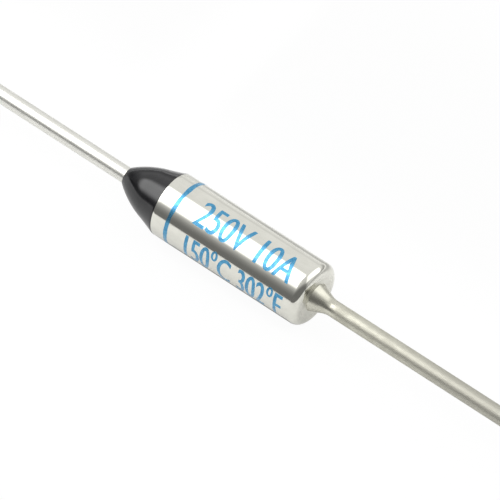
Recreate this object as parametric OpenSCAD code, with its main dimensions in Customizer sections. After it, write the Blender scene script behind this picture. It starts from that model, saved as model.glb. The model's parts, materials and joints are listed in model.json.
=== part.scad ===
// Axial thermal fuse of the melting pellet kind. A drawn metal case carries one lead, riveted into its
// closed end. A ceramic bushing and a cast resin seal hold the other lead clear of the case. Between them
// a star contact rides on two springs and a pellet, and parts from the lead's head when the pellet melts.
//
// Every piece is drawn upright about its axis, with height 0 at the case's rim and the closed end above,
// then laid along X with the middle of the case at the origin and the case's own lead towards +X.

/* [Case] */
// Outside diameter of the drawn case
case_dia = 4.0; // [3.6:0.1:5.0]
// Length of the case, from its rim to its closed end
case_len = 10.8; // [9.6:0.1:14.0]
// Wall of the case around the pellet
case_wall = 0.30; // [0.25:0.01:0.40]
// Thinned wall around the bushing, also the thickness of the rolled lip
mouth_wall = 0.18; // [0.12:0.01:0.22]
// Floor of the closed end
case_floor = 0.45; // [0.35:0.05:0.70]
// How far the rolled lip reaches in from the outside of the case
lip_reach = 0.50; // [0.35:0.05:0.60]
// Outside radius of the bend at the rim
rim_round = 0.22; // [0.12:0.01:0.30]
// Outside radius of the corner at the closed end
end_round = 0.50; // [0.20:0.05:0.60]
// Inside radius of the corner at the closed end
floor_round = 0.25; // [0.10:0.05:0.35]

/* [Leads] */
// Diameter of both lead wires
lead_dia = 1.0; // [0.8:0.05:1.2]
// Free length of the isolated lead, from the tip of the resin
isolated_len = 35.0; // [10:0.5:60]
// Free length of the case lead, from the closed end
case_lead_len = 35.0; // [10:0.5:60]
// Diameter of the case lead's flared shoulder on the closed end
shoulder_dia = 1.77; // [1.5:0.01:2.2]
// Half angle of the flared shoulder
shoulder_angle = 21; // [14:1:35]
// Radius of the hollow curve from the shoulder into the wire
shoulder_fillet = 1.35; // [0.3:0.05:1.6]
// Diameter of the riveted tail inside the floor
rivet_dia = 1.70; // [1.4:0.05:2.0]
// Depth of the riveted tail's countersink
rivet_depth = 0.25; // [0.15:0.05:0.30]
// Chamfer on the cut ends of the wires
wire_chamfer = 0.10; // [0.05:0.01:0.20]
// Diameter of the isolated lead's contact head
head_dia = 1.70; // [1.5:0.05:1.8]
// Thickness of the contact head
head_len = 0.45; // [0.35:0.05:0.60]
// Round on the rim of the contact head
head_round = 0.20; // [0.05:0.05:0.25]
// Step of the swaged collar above the wire
collar_step = 0.20; // [0.18:0.01:0.24]
// Straight length of the swaged collar
collar_len = 0.40; // [0.2:0.05:0.6]
// Tapered length of the swaged collar
collar_taper = 0.30; // [0.2:0.05:0.5]

/* [Resin seal] */
// Length of the resin in front of the rim
resin_len = 3.0; // [2.6:0.1:4.0]
// How far the resin's flank stays inside the outside of the case, at the rim
resin_inset = 0.13; // [0.08:0.01:0.20]
// Half angle of the resin's straight flank
flank_angle = 16; // [10:1:18]
// Length of the straight flank
flank_len = 0.96; // [0.6:0.02:1.2]
// Length over which the flank flares out to the rim
flare_len = 0.50; // [0.30:0.05:0.60]
// Angle around the rim's bend at which the resin's lap ends
lap_angle = 80; // [75:1:85]
// Thickness of the resin's lap on the bend
lap_film = 0.006; // [0.004:0.001:0.010]
// Width of the resin's ring around the wire at its tip
tip_lap = 0.06; // [0.02:0.01:0.10]
// Depth of the resin over the end of the swaged collar
collar_cover = 0.10; // [0.05:0.01:0.15]

/* [Ceramic bushing] */
// Length of the flange that the case grips
flange_len = 2.2; // [1.6:0.1:2.6]
// Chamfer on the rims of the flange
flange_chamfer = 0.10; // [0.05:0.01:0.15]
// Diameter of the boss under the contact head
boss_dia = 1.90; // [1.75:0.05:2.0]
// Length of the boss
boss_len = 0.40; // [0.3:0.05:0.6]
// Ring of resin between the bushing's nose and the lip
nose_gap = 0.10; // [0.05:0.01:0.20]
// Ledge that the nose's end leaves around the swaged collar
nose_ledge = 0.12; // [0.05:0.01:0.16]

/* [Contacts and springs] */
// Thickness of the star contact's sheet
star_sheet = 0.12; // [0.08:0.01:0.15]
// Radial width of the star contact's bent points
point_reach = 0.33; // [0.25:0.01:0.40]
// Angle that the points are bent up
point_angle = 60; // [40:1:65]
// Number of points on the star contact
point_count = 12; // [8:1:14]
// Width of the slots between the points
slot_w = 0.22; // [0.12:0.01:0.30]
// How far the slots run into the flat of the star contact
slot_run = 0.20; // [0.05:0.05:0.30]
// Thickness of the disc under the barrel spring
contact_disc_t = 0.25; // [0.15:0.05:0.35]
// Thickness of the disc on the pellet
pellet_disc_t = 0.25; // [0.15:0.05:0.35]
// Wire of the barrel spring
barrel_wire = 0.36; // [0.28:0.01:0.38]
// Length of the barrel spring as assembled
barrel_len = 2.6; // [2.4:0.1:3.2]
// Turns of the barrel spring
barrel_turns = 4.5; // [3.5:0.5:5.0]
// Wire of the trip spring
trip_wire = 0.18; // [0.14:0.01:0.20]
// Turns of the trip spring
trip_turns = 3.0; // [2.5:0.5:3.5]

/* [Clearances] */
// Radial gap of a wire in its hole and of the bushing in the case
fit_gap = 0.02; // [0.01:0.01:0.05]
// Radial gap of the star contact's points in the bore
point_gap = 0.01; // [0.005:0.005:0.03]
// Radial gap of the pellet in the bore
pellet_gap = 0.04; // [0.02:0.01:0.08]
// Radial gap of the pellet's disc in the bore
disc_gap = 0.10; // [0.05:0.01:0.15]
// Gap that the springs keep from the pieces beside them
spring_gap = 0.05; // [0.03:0.01:0.08]
// Gap between the barrel spring's belly and the bore
belly_gap = 0.30; // [0.15:0.05:0.40]

/* [Hidden] */

$fn = 96;
// How far a cut runs past the face that it opens
over = 0.05;
// Facets of a spring: sides around the wire and rings along each turn
wire_sides = 8;
turn_rings = 20;
// Share of a spring's wire that is ground off at each end
ground_share = 0.25;
// Pitch of a spring's closed end turns, in wire diameters
closed_pitch = 1.08;

// Radii
case_r = case_dia / 2;
bore_r = case_r - case_wall;
mouth_r = case_r - mouth_wall;
lip_hole_r = case_r - lip_reach;
lead_r = lead_dia / 2;
lead_hole_r = lead_r + fit_gap;
shoulder_r = shoulder_dia / 2;
rivet_r = rivet_dia / 2;
head_r = head_dia / 2;
collar_r = lead_r + collar_step;
flange_r = mouth_r - fit_gap;
boss_r = boss_dia / 2;
nose_base_r = lip_hole_r - nose_gap;
nose_tip_r = collar_r + nose_ledge;
pellet_r = bore_r - pellet_gap;
pellet_disc_r = bore_r - disc_gap;
star_r = bore_r - point_gap;
star_flat_r = star_r - point_reach;
contact_disc_r = star_flat_r - star_sheet * tan(point_angle / 2) - spring_gap;
slot_r = star_flat_r - slot_run;

// Heights, from the rim up through the stack to the closed end
ledge_z = mouth_wall + flange_len;
head_z = ledge_z + boss_len;
star_z = head_z + head_len;
contact_disc_z = star_z + star_sheet;
barrel_z = contact_disc_z + contact_disc_t;
pellet_disc_z = barrel_z + barrel_len;
pellet_z = pellet_disc_z + pellet_disc_t;
floor_z = case_len - case_floor;
case_lead_z = case_len + case_lead_len;

// Heights below the rim: the bushing's nose, the swaged collar, the resin's tip and the wire's end
nose_z = collar_cover + collar_taper + collar_len - resin_len;
collar_z = nose_z - collar_len;
swage_z = collar_z - collar_taper;
isolated_z = -resin_len - isolated_len;

// Rise of the star contact's points
point_rise = point_reach * tan(point_angle);

// Shoulder of the case lead: where its cone would meet the wire, and the ends of the hollow curve there
shoulder_apex_z = case_len + (shoulder_r - lead_r) / tan(shoulder_angle);
fillet_run = shoulder_fillet * tan(shoulder_angle / 2);
fillet_top_z = shoulder_apex_z + fillet_run;
fillet_foot = [
    lead_r + fillet_run * sin(shoulder_angle),
    shoulder_apex_z - fillet_run * cos(shoulder_angle)
];

// Resin: the line of the flank, and the flare that leaves it to touch the lap on the rim's bend
function flank_at(z) = [case_r - resin_inset + z * tan(flank_angle), z];
flare_foot = flank_at(-flare_len);
bend = [case_r - rim_round, rim_round];
lap_reach = rim_round + lap_film;
flare_run = bend - flare_foot;
flare_angle = atan2(flare_run.x, flare_run.y) + asin(lap_reach / norm(flare_run));
lap_start = bend + lap_reach * [cos(flare_angle), -sin(flare_angle)];
lap_end = bend + lap_reach * [sin(lap_angle), -cos(lap_angle)];

// Resin: the end of the flank, the tip, and the arc that leaves the flank along its own direction and ends
// at the tip
flank_end = flank_at(-flank_len);
resin_tip = [lead_r + tip_lap, -resin_len];
flank_normal = [cos(flank_angle), -sin(flank_angle)];
nose_chord = resin_tip - flank_end;
nose_round = -(nose_chord * nose_chord) / (2 * flank_normal * nose_chord);
nose_centre = flank_end - nose_round * flank_normal;

// Mean radii of the springs' turns
barrel_end_r = contact_disc_r - spring_gap - barrel_wire / 2;
barrel_belly_r = bore_r - belly_gap - barrel_wire / 2;
trip_foot_r = boss_r + spring_gap + trip_wire / 2;
trip_top_r = star_flat_r - spring_gap - trip_wire / 2;

// Lays an upright piece along X, with the middle of the case at the origin
module laid() {
    translate([-case_len / 2, 0, 0]) rotate([0, 90, 0]) children();
}

// Turns a half profile, drawn as radius and height, into a laid piece
module turned() {
    laid() rotate_extrude() children();
}

// What a round takes off a profile's corner that points outwards and up
module corner(round) {
    translate([-round, -round]) difference() {
        square(round + over);
        circle(round);
    }
}

// Half profile of a round bar whose lower and upper corners may be rounded
module bar_profile(r, low, high, low_round = 0, high_round = 0) {
    difference() {
        translate([0, low]) square([r, high - low]);
        if (low_round > 0) translate([r, low]) mirror([0, 1]) corner(low_round);
        if (high_round > 0) translate([r, high]) corner(high_round);
    }
}

// Height of a coil's middle line after some turns: a closed turn at each end and an open middle
function coil_height(turn, turns, rise, end_pitch) =
    turn < 1 ? end_pitch * turn :
    turn > turns - 1 ? rise - end_pitch * (turns - turn) :
    end_pitch + (rise - 2 * end_pitch) * (turn - 1) / (turns - 2);

// Coil spring of round wire from low to high, with both ends ground flat. Its mean radius goes from
// foot_r to top_r and swells by belly halfway.
module coil(low, high, wire, turns, foot_r, top_r, belly = 0) {
    wire_r = wire / 2;
    foot_z = low + wire_r * (1 - 2 * ground_share);
    rise = high - low - wire * (1 - 2 * ground_share);
    rings = ceil(turns * turn_rings);
    points = [for (i = [0 : rings], j = [0 : wire_sides - 1])
        let (
            share = i / rings,
            around = 360 * turns * share,
            across = 360 * (j + 0.5) / wire_sides,
            r = foot_r + (top_r - foot_r) * share + belly * sin(180 * share) + wire_r * cos(across),
            z = foot_z + coil_height(turns * share, turns, rise, wire * closed_pitch) + wire_r * sin(across)
        )
        [r * cos(around), r * sin(around), min(max(z, low), high)]
    ];
    sides = [for (i = [0 : rings - 1], j = [0 : wire_sides - 1], upper = [0, 1])
        let (
            here = i * wire_sides,
            next = here + wire_sides,
            k = (j + 1) % wire_sides
        )
        upper == 1 ? [here + j, here + k, next + k] : [here + j, next + k, next + j]
    ];
    first_cap = [for (j = [wire_sides - 1 : -1 : 0]) j];
    last_cap = [for (j = [0 : wire_sides - 1]) rings * wire_sides + j];
    laid() polyhedron(points, concat(sides, [first_cap, last_cap]));
}

// Outside of the drawn case, open only through the hole in its rolled lip
module case_outline() {
    difference() {
        bar_profile(case_r, 0, case_len, rim_round, end_round);
        bar_profile(lip_hole_r, -over, mouth_wall);
    }
}

// Drawn case: bored for the stack, counterbored for the bushing, with its lip rolled over the flange
module case_profile() {
    difference() {
        case_outline();
        bar_profile(bore_r, ledge_z - over, floor_z, high_round = floor_round);
        bar_profile(mouth_r, mouth_wall, ledge_z);
        bar_profile(lip_hole_r, -over, mouth_wall + over);
        bar_profile(lead_hole_r, floor_z - over, case_len + over);
        polygon([
            [0, floor_z],
            [rivet_r + fit_gap, floor_z],
            [lead_hole_r, floor_z + rivet_depth],
            [0, floor_z + rivet_depth]
        ]);
    }
}

// Outside of the ceramic bushing, without its bore
module bushing_outline() {
    polygon([
        [0, nose_z],
        [nose_tip_r, nose_z],
        [nose_base_r, mouth_wall],
        [flange_r - flange_chamfer, mouth_wall],
        [flange_r, mouth_wall + flange_chamfer],
        [flange_r, ledge_z - flange_chamfer],
        [flange_r - flange_chamfer, ledge_z],
        [boss_r, ledge_z],
        [boss_r, head_z],
        [0, head_z]
    ]);
}

// Isolated lead: contact head, shank in the bushing, swaged collar in the resin and free wire
module isolated_lead_profile() {
    difference() {
        polygon([
            [0, star_z],
            [head_r, star_z],
            [head_r, head_z],
            [lead_r, head_z],
            [lead_r, nose_z],
            [collar_r, nose_z],
            [collar_r, collar_z],
            [lead_r, swage_z],
            [lead_r, isolated_z + wire_chamfer],
            [lead_r - wire_chamfer, isolated_z],
            [0, isolated_z]
        ]);
        translate([head_r, star_z]) corner(head_round);
    }
}

// Outside of the resin, down from the bushing's flange: lap on the rim, straight flank and rounded nose
module resin_outline() {
    difference() {
        polygon([
            [0, mouth_wall],
            [lip_hole_r, mouth_wall],
            [min(lap_end.x, case_r), lap_end.y],
            lap_start,
            flare_foot,
            flank_at(-resin_len),
            [0, -resin_len]
        ]);
        difference() {
            translate([0, -resin_len - over]) square([case_r, resin_len - flank_len + over]);
            translate(nose_centre) circle(nose_round);
        }
    }
}

module case() {
    color("silver") turned() case_profile();
}

// Case lead: riveted tail flush with the floor, flared shoulder on the closed end and free wire
module case_lead() {
    color("#bdbab0") turned() difference() {
        polygon([
            [0, floor_z],
            [rivet_r, floor_z],
            [lead_r, floor_z + rivet_depth],
            [lead_r, case_len],
            [shoulder_r, case_len],
            fillet_foot,
            [lead_r, fillet_top_z],
            [lead_r, case_lead_z - wire_chamfer],
            [lead_r - wire_chamfer, case_lead_z],
            [0, case_lead_z]
        ]);
        translate([lead_r + shoulder_fillet, fillet_top_z]) circle(shoulder_fillet);
    }
}

// Pellet that melts at the fuse's temperature, with its edges broken to clear the corner of the floor
module thermal_pellet() {
    edge_r = pellet_r - floor_round;
    color("#d9c7a2") turned() polygon([
        [0, pellet_z],
        [edge_r, pellet_z],
        [pellet_r, pellet_z + floor_round],
        [pellet_r, floor_z - floor_round],
        [edge_r, floor_z],
        [0, floor_z]
    ]);
}

// Disc that spreads the barrel spring's load over the pellet
module pellet_disc() {
    color("#b5a642") turned() bar_profile(pellet_disc_r, pellet_disc_z, pellet_z);
}

// Strong spring that holds the star contact against the lead while the pellet is whole
module barrel_spring() {
    color("#8d9094") coil(barrel_z, pellet_disc_z, barrel_wire, barrel_turns, barrel_end_r, barrel_end_r,
        barrel_belly_r - barrel_end_r);
}

// Disc that spreads the barrel spring's load over the star contact
module contact_disc() {
    color("#b5a642") turned() bar_profile(contact_disc_r, contact_disc_z, barrel_z);
}

// Sheet contact whose bent points slide in the bore and join the lead's head to the case
module star_contact() {
    bend = star_sheet * tan(point_angle / 2);
    color("#d8d9d6") laid() difference() {
        rotate_extrude() polygon([
            [0, star_z],
            [star_flat_r, star_z],
            [star_r, star_z + point_rise],
            [star_r - star_sheet * sin(point_angle), star_z + point_rise + star_sheet * cos(point_angle)],
            [star_flat_r - bend, star_z + star_sheet],
            [0, star_z + star_sheet]
        ]);
        for (i = [0 : point_count - 1])
            rotate(360 * i / point_count)
                translate([slot_r, -slot_w / 2, star_z - over])
                    cube([case_r, slot_w, point_rise + star_sheet + 2 * over]);
    }
}

// Weak spring that lifts the star contact off the lead once the pellet has melted
module trip_spring() {
    color("#9a9da1") coil(ledge_z, star_z, trip_wire, trip_turns, trip_foot_r, trip_top_r);
}

// Ceramic bushing: flange gripped by the case, boss under the contact head and nose inside the resin
module ceramic_bushing() {
    color("#efe9dc") turned() difference() {
        bushing_outline();
        bar_profile(lead_hole_r, nose_z - over, head_z + over);
    }
}

module isolated_lead() {
    color("#d2d3d1") turned() isolated_lead_profile();
}

// Resin cast over the nose and the collar, filling the ring inside the lip and lapping the rim's bend
module resin_seal() {
    color("#161616") turned() difference() {
        resin_outline();
        case_outline();
        bushing_outline();
        isolated_lead_profile();
    }
}

case();
case_lead();
thermal_pellet();
pellet_disc();
barrel_spring();
contact_disc();
star_contact();
trip_spring();
ceramic_bushing();
isolated_lead();
resin_seal();
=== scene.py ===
"""Looks of an axial thermal fuse: drawn can, cast resin seal, two wire leads, print and inner stack."""

import json
import logging
import math
from dataclasses import dataclass
from enum import Enum

import bmesh
import bpy
from mathutils import Matrix, Vector, noise


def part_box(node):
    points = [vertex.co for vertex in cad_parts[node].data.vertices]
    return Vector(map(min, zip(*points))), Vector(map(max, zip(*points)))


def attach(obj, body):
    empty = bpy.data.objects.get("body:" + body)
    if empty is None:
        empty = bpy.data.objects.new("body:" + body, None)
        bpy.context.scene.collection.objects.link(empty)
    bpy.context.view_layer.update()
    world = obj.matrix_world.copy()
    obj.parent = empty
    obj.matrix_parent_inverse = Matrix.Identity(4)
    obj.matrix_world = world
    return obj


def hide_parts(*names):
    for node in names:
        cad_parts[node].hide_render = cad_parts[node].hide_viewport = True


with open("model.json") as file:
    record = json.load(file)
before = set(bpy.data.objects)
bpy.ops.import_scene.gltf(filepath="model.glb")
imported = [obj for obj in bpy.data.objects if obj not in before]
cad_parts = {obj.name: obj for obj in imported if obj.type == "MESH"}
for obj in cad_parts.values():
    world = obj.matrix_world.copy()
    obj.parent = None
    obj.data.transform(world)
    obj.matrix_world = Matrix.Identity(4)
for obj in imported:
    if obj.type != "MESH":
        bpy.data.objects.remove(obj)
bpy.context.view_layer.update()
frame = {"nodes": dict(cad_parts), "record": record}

MM = 0.001
PHOTO_SIDE = 500
HALF_TURN_DEG = 180.0
ROOT = "root"
# Mesh layer that holds each point's wear, and its painted shade where the wire is darkened.
WEAR_AND_SHADE_LAYER = "wear"
LOG = logging.getLogger("thermal_fuse")

Colour = tuple[float, float, float]
Point = tuple[float, float]
Marks = tuple[float, float, float, float]
Socket = bpy.types.NodeSocket


class Slot(Enum):
    """Names of material slots, one for each kind of piece."""

    CASE = "case_plating"
    CASE_LEAD = "tinned_wire"
    ISOLATED_LEAD = "bright_wire"
    RESIN = "black_resin"
    SPRING = "spring_steel"
    INK = "blue_ink"


class Wear(Enum):
    """States of a metal surface, in the order in which it wears; the last state is no wear but painted shade
    that darkens the colour.
    """

    BRIGHT = 0.0
    DULL = 1.0
    # Painted shade: the colour darkens here as if less light reached the metal.
    SHADED = 2.0


class Axis(Enum):
    """Parts of a vector, by their place in it."""

    X = 0
    Y = 1
    Z = 2


class Ramp(Enum):
    """Ways for a value to go from one level to another."""

    EVEN = "LINEAR"
    SMOOTH = "SMOOTHSTEP"


class NodeTree:
    """A node tree while it is being put together."""

    def __init__(self, tree: bpy.types.NodeTree) -> None:
        """Takes the tree to fill."""
        self.tree = tree

    def link(self, source: Socket, target: Socket) -> None:
        """Joins an output socket to an input socket."""
        self.tree.links.new(source, target)

    def feed(self, target: Socket, value: object) -> None:
        """Gives an input what it reads.

        Args:
            target: Input socket.
            value: Another node's output, a plain value, or None to leave the input alone.
        """
        if isinstance(value, Socket):
            self.link(value, target)
        elif value is not None:
            target.default_value = value

    def add(self, kind: str, *values: object, result: int = 0, **settings: object) -> Socket:
        """Adds a node and feeds its inputs in order.

        Args:
            kind: Blender's type name of the node.
            values: What its inputs read, in order.
            result: Which output is wanted.
            settings: Options of the node.

        Returns:
            The wanted output.
        """
        node = self.tree.nodes.new(kind)
        for name, value in settings.items():
            setattr(node, name, value)
        for target, value in zip([socket for socket in node.inputs if socket.enabled], values):
            self.feed(target, value)
        return [socket for socket in node.outputs if socket.enabled][result]

    def named(self, kind: str, result: str, **values: object) -> Socket:
        """Adds a node and feeds its inputs by name.

        Args:
            kind: Blender's type name of the node.
            result: Name of the wanted output.
            values: What its inputs read, with underscores for the spaces in their names.

        Returns:
            The wanted output.
        """
        node = self.tree.nodes.new(kind)
        for name, value in values.items():
            self.feed(node.inputs[name.replace("_", " ")], value)
        return node.outputs[result]

    def math(self, operation: str, *values: Socket | float) -> Socket:
        """Joins values by an arithmetic operation."""
        return self.add("ShaderNodeMath", *values, operation=operation)

    def plus(self, value: Socket | float, other: Socket | float) -> Socket:
        """Adds two values."""
        return self.math("ADD", value, other)

    def minus(self, value: Socket | float, other: Socket | float) -> Socket:
        """Takes the second value from the first."""
        return self.math("SUBTRACT", value, other)

    def times(self, value: Socket | float, other: Socket | float) -> Socket:
        """Multiplies two values."""
        return self.math("MULTIPLY", value, other)

    def ramp(
        self,
        value: Socket,
        span: tuple[Socket | float, Socket | float],
        low: Socket | float,
        high: Socket | float,
        way: Ramp = Ramp.SMOOTH,
    ) -> Socket:
        """Maps a range of a value to another range, level outside it.

        Args:
            value: Value to map.
            span: Start and end of its range.
            low: Result at the start.
            high: Result at the end.
            way: How the result goes from one to the other.

        Returns:
            The mapped value.
        """
        return self.add("ShaderNodeMapRange", value, *span, low, high, interpolation_type=way.value)

    def within(self, low: Socket, high: Socket, marks: Marks) -> Socket:
        """Makes a window that is full between two marks and fades towards the outer two.

        Args:
            low: Value that enters the window.
            high: Value that leaves it.
            marks: Where the window starts, is full, starts to fall and ends.

        Returns:
            The window, from 0 to 1.
        """
        start, full, fall, end = marks
        return self.times(self.ramp(low, (start, full), 0.0, 1.0), self.ramp(high, (fall, end), 1.0, 0.0))

    def vector(self, x: Socket | float, y: Socket | float, z: Socket | float) -> Socket:
        """Joins three values into a vector."""
        return self.add("ShaderNodeCombineXYZ", x, y, z)

    def part(self, vector: Socket, axis: Axis) -> Socket:
        """Takes one value out of a vector."""
        return self.add("ShaderNodeSeparateXYZ", vector, result=axis.value)


class Shader(NodeTree):
    """A material's node tree while it is being put together."""

    NOISE_MIDDLE = (0.3, 0.7)
    NUMBER_OUTPUT = 2

    def __init__(self, name: str) -> None:
        """Starts a material with one surface.

        Args:
            name: Name of the new material.
        """
        self.material = bpy.data.materials.new(name)
        self.material.use_nodes = True
        super().__init__(self.material.node_tree)
        self.tree.nodes.clear()
        self.surface = self.tree.nodes.new("ShaderNodeBsdfPrincipled")
        self.output = self.tree.nodes.new("ShaderNodeOutputMaterial").inputs["Surface"]
        self.link(self.surface.outputs["BSDF"], self.output)
        self.place = self.named("ShaderNodeTexCoord", "Object")

    def set(self, **values: object) -> None:
        """Feeds the surface's inputs by name, with underscores for the spaces."""
        for name, value in values.items():
            self.feed(self.surface.inputs[name.replace("_", " ")], value)

    def noise(
        self, size_mm: float, stretch: float = 1.0, detail: float = 2.0, rough: float = 0.5
    ) -> Socket:
        """Adds a noise whose lumps have a given size.

        Args:
            size_mm: Width of the lumps.
            stretch: How many times longer they are along the X axis.
            detail: Octaves of finer lumps.
            rough: Strength of the finer lumps.

        Returns:
            The noise's value, from 0 to 1.
        """
        scale = [1 / (side * MM) for side in (stretch * size_mm, size_mm, size_mm)]
        place = self.named("ShaderNodeMapping", "Vector", Vector=self.place, Scale=scale)
        return self.named(
            "ShaderNodeTexNoise", "Fac", Vector=place, Scale=1.0, Detail=detail, Roughness=rough
        )

    def spread(self, source: Socket, low: float, high: float) -> Socket:
        """Stretches the middle of a noise over a range."""
        return self.ramp(source, self.NOISE_MIDDLE, low, high)

    def attribute(self, name: str) -> Socket:
        """Reads a number that the mesh holds at each point."""
        return self.add("ShaderNodeAttribute", result=self.NUMBER_OUTPUT, attribute_name=name)

    def tint(self, source: Socket, low: Colour, high: Colour) -> Socket:
        """Blends two colours by a noise."""
        factor = self.spread(source, 0.0, 1.0)
        return self.add("ShaderNodeMix", factor, (*low, 1.0), (*high, 1.0), data_type="RGBA")

    def relief(self, *heights: tuple[Socket, float]) -> None:
        """Raises the surface by noises, each with its own height.

        Args:
            heights: Pairs of a noise and its height in millimetres.
        """
        normal = None
        for source, height_mm in heights:
            bump = {"Strength": 1.0, "Distance": height_mm * MM, "Height": source, "Normal": normal}
            normal = self.named("ShaderNodeBump", "Normal", **bump)
        self.set(Normal=normal)


@dataclass(frozen=True)
class DrawnMetal:
    """Plated metal with fine lines along the axis, faint mottle and slow waves, worn where the mesh says,
    and darkened by painted shade where it says so.
    """

    name: str
    bright: Colour
    dark: Colour
    smooth: float
    rough: float
    # Colour of the painted shade at the mesh's last wear state.
    shade_colour: Colour = (0.45, 0.44, 0.385)
    dull_gain: float = 0.0
    clear_lines: float = 1.0
    dull_lines: float = 1.0
    line_mm: float = 0.05
    line_stretch: float = 60.0
    mottle_mm: float = 0.45
    mottle_stretch: float = 2.0
    wave_mm: float = 2.5
    wave_stretch: float = 2.0
    wave_height_mm: float = 0.004
    line_height_mm: float = 0.0002

    def make(self) -> bpy.types.Material:
        """Builds the material.

        Returns:
            The material.
        """
        shader = Shader(self.name)
        lines = shader.noise(self.line_mm, self.line_stretch, detail=3.0)
        mottle = shader.noise(self.mottle_mm, self.mottle_stretch, detail=4.0, rough=0.6)
        waves = shader.noise(self.wave_mm, self.wave_stretch, detail=0.0)
        gloss = shader.spread(mottle, self.smooth, self.rough)
        wear = shader.attribute(WEAR_AND_SHADE_LAYER)
        dull = shader.ramp(wear, (Wear.BRIGHT.value, Wear.DULL.value), 0.0, 1.0)
        # Painted shade: past the dull state the colour blends towards the shade colour.
        shaded = shader.ramp(wear, (Wear.DULL.value, Wear.SHADED.value), 0.0, 1.0)
        dulled = shader.math("MULTIPLY_ADD", dull, self.dull_gain, gloss)
        clean = shader.tint(mottle, self.bright, self.dark)
        colour = shader.add("ShaderNodeMix", shaded, clean, (*self.shade_colour, 1.0), data_type="RGBA")
        shader.set(Metallic=1.0, Base_Color=colour, Roughness=dulled)
        kept = shader.math("MULTIPLY_ADD", dull, self.dull_lines - self.clear_lines, self.clear_lines)
        lines = shader.times(lines, kept)
        shader.relief((waves, self.wave_height_mm), (lines, self.line_height_mm))
        return shader.material


@dataclass(frozen=True)
class CastResin:
    """Glossy black resin with the slow waves of a poured surface."""

    name: str
    deep: Colour = (0.004, 0.004, 0.005)
    dusty: Colour = (0.008, 0.008, 0.009)
    smooth: float = 0.08
    rough: float = 0.14
    ior: float = 1.48
    film_mm: float = 0.5
    wave_mm: float = 1.4
    wave_height_mm: float = 0.006

    def make(self) -> bpy.types.Material:
        """Builds the material.

        Returns:
            The material.
        """
        shader = Shader(self.name)
        film = shader.noise(self.film_mm, detail=4.0, rough=0.6)
        waves = shader.noise(self.wave_mm, detail=1.0)
        gloss = shader.spread(film, self.smooth, self.rough)
        shader.set(IOR=self.ior, Base_Color=shader.tint(film, self.deep, self.dusty), Roughness=gloss)
        shader.relief((waves, self.wave_height_mm))
        return shader.material


@dataclass(frozen=True)
class StampInk:
    """Blue ink in a film thin enough for the metal below to shine through."""

    name: str
    thin: Colour = (0.08, 0.33, 0.54)
    thick: Colour = (0.04, 0.23, 0.42)
    smooth: float = 0.22
    rough: float = 0.30
    metallic: float = 0.9
    coat: float = 0.6
    patch_mm: float = 0.22

    def make(self) -> bpy.types.Material:
        """Builds the material.

        Returns:
            The material.
        """
        shader = Shader(self.name)
        patches = shader.noise(self.patch_mm, detail=3.0, rough=0.6)
        gloss = shader.spread(patches, self.smooth, self.rough)
        colour = shader.tint(patches, self.thin, self.thick)
        shader.set(Metallic=self.metallic, Base_Color=colour, Roughness=gloss)
        shader.set(Coat_Weight=self.coat, Coat_Roughness=self.smooth)
        return shader.material


@dataclass(frozen=True)
class Grained:
    """Dull solid with a fine grain, for the fired bushing and the pressed pellet."""

    name: str
    light: Colour
    dark: Colour
    grain_mm: float
    roughness: float
    grain_height_mm: float = 0.01

    def make(self) -> bpy.types.Material:
        """Builds the material.

        Returns:
            The material.
        """
        shader = Shader(self.name)
        grain = shader.noise(self.grain_mm, detail=3.0, rough=0.65)
        shader.set(Base_Color=shader.tint(grain, self.light, self.dark), Roughness=self.roughness)
        shader.relief((grain, self.grain_height_mm))
        return shader.material


class Outline:
    """Half section of a turned piece: places along the axis with radius in millimetres, and their wear,
    whose last state is painted shade.
    """

    def __init__(self) -> None:
        """Starts an empty section of bright metal."""
        self.points: list[Point] = []
        self.worn: list[Wear] = []
        self.wear = Wear.BRIGHT

    def finish(self, wear: Wear) -> "Outline":
        """Sets how worn the points after this are, or that they are darkened by painted shade."""
        self.wear = wear
        return self

    def to(self, *points: Point) -> "Outline":
        """Adds corner points.

        Args:
            points: Places along the axis with their radius.

        Returns:
            The outline, for the next call.
        """
        self.points.extend(points)
        self.worn.extend([self.wear] * len(points))
        return self

    def arc(self, centre: Point, radius: float, start: float, end: float, steps: int = 12) -> "Outline":
        """Adds an arc.

        Args:
            centre: Middle of the arc.
            radius: Radius of the arc.
            start: First angle in degrees, from +X towards growing radius.
            end: Last angle in degrees.
            steps: Straight pieces that the arc is made of.

        Returns:
            The outline, for the next call.
        """
        for step in range(steps + 1):
            angle = math.radians(start + (end - start) * step / steps)
            self.to((centre[0] + radius * math.cos(angle), centre[1] + radius * math.sin(angle)))
        return self

    def curve(self, corner: Point, end: Point, steps: int = 10) -> "Outline":
        """Adds a curve that leaves the last point towards a corner and comes to its end from there.

        Args:
            corner: Corner that the curve cuts.
            end: Last point of the curve.
            steps: Straight pieces that the curve is made of.

        Returns:
            The outline, for the next call.
        """
        start, turn, stop = Vector(self.points[-1]), Vector(corner), Vector(end)
        for step in range(1, steps + 1):
            share = step / steps
            leg = start.lerp(turn, share)
            self.to(tuple(leg.lerp(turn.lerp(stop, share), share)))
        return self


def add_piece(name: str, data: bpy.types.Mesh) -> bpy.types.Object:
    """Puts a mesh into the scene as a piece at the origin.

    Args:
        name: Name of the new piece.
        data: Its mesh.

    Returns:
        The piece.
    """
    piece = bpy.data.objects.new(name, data)
    bpy.context.scene.collection.objects.link(piece)
    return piece


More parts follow.
